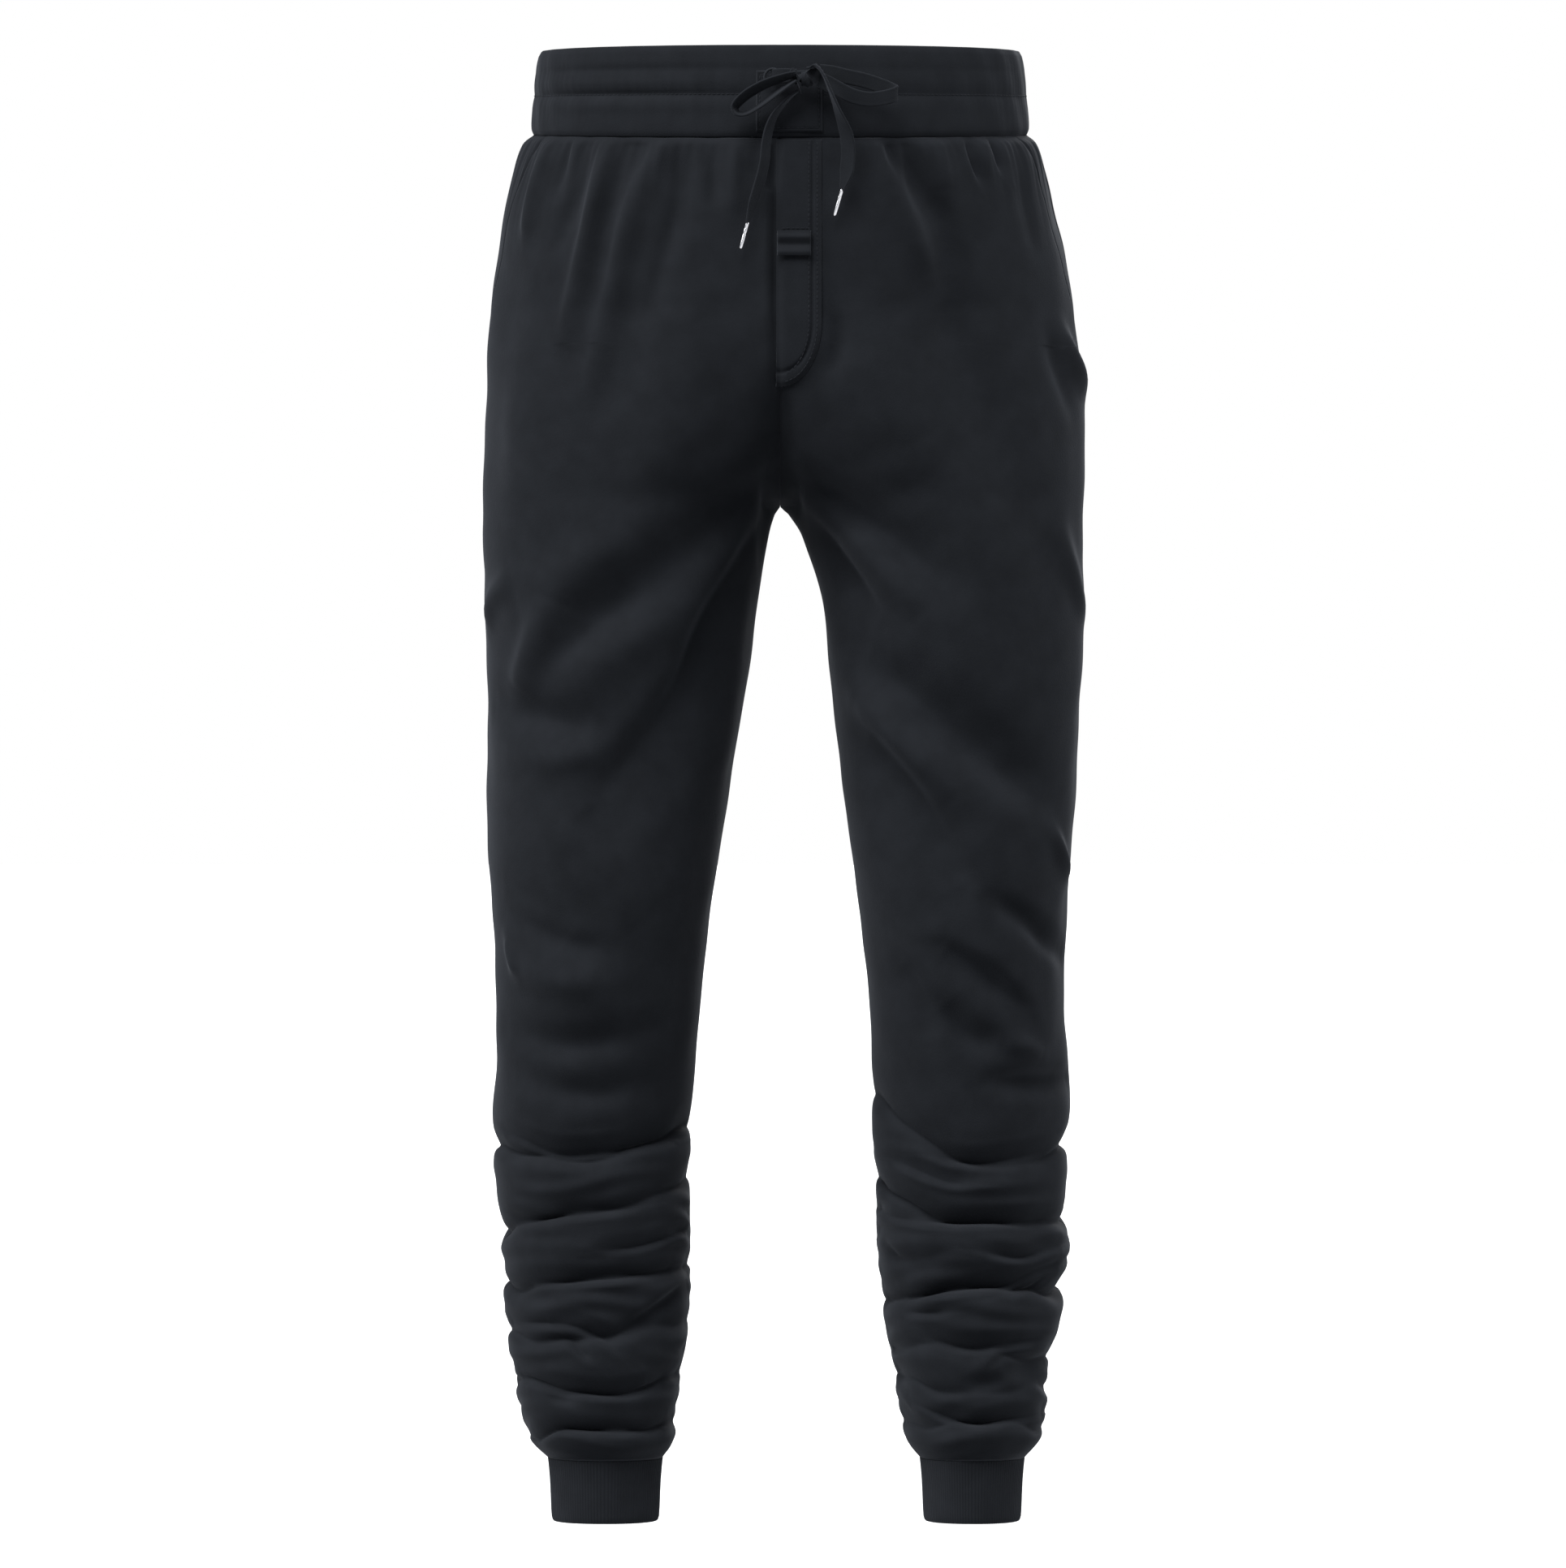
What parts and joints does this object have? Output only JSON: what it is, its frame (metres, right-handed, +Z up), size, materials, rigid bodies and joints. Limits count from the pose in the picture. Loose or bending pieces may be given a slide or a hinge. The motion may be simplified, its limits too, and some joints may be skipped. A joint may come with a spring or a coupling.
{
  "type": "jogger sweatpants",
  "caption": "Slim fleece joggers, hollow as worn: elastic waistband with a tied flat drawstring, mock fly, slanted side pockets, stacked lower legs and ankle cuffs.",
  "frame": {"origin": "middle of the waistband, inside its hollow, where the wearer's waist holds it", "axes": "+Z up along the legs to the waist, -Y the front of the garment, +X the wearer's left"},
  "size_m": [0.4076, 0.2881, 0.9967],
  "materials": {
    "fleece": "smooth-faced brushed fleece, soft low sheen",
    "rib": "fine knit cuff, matte",
    "tape": "flat woven drawstring tape, matte",
    "tip": "bright satin metal"
  },
  "bodies": {
    "root": {"waistband": "fleece", "front_left": "fleece", "front_right": "fleece", "back_left": "fleece", "back_right": "fleece", "pocket_facing_left": "fleece", "pocket_facing_right": "fleece", "fly_placket": "fleece", "fly_tab": "fleece", "eyelet_patch": "fleece", "cuff_left": "rib", "cuff_right": "rib", "drawstring_lead_left": "tape", "drawstring_lead_right": "tape", "drawstring_loop_left": "tape", "drawstring_loop_right": "tape", "drawstring_end_left": "tape", "drawstring_end_right": "tape", "drawstring_knot": "tape", "aglet_left": "tip", "aglet_right": "tip"}
  },
  "joints": []
}
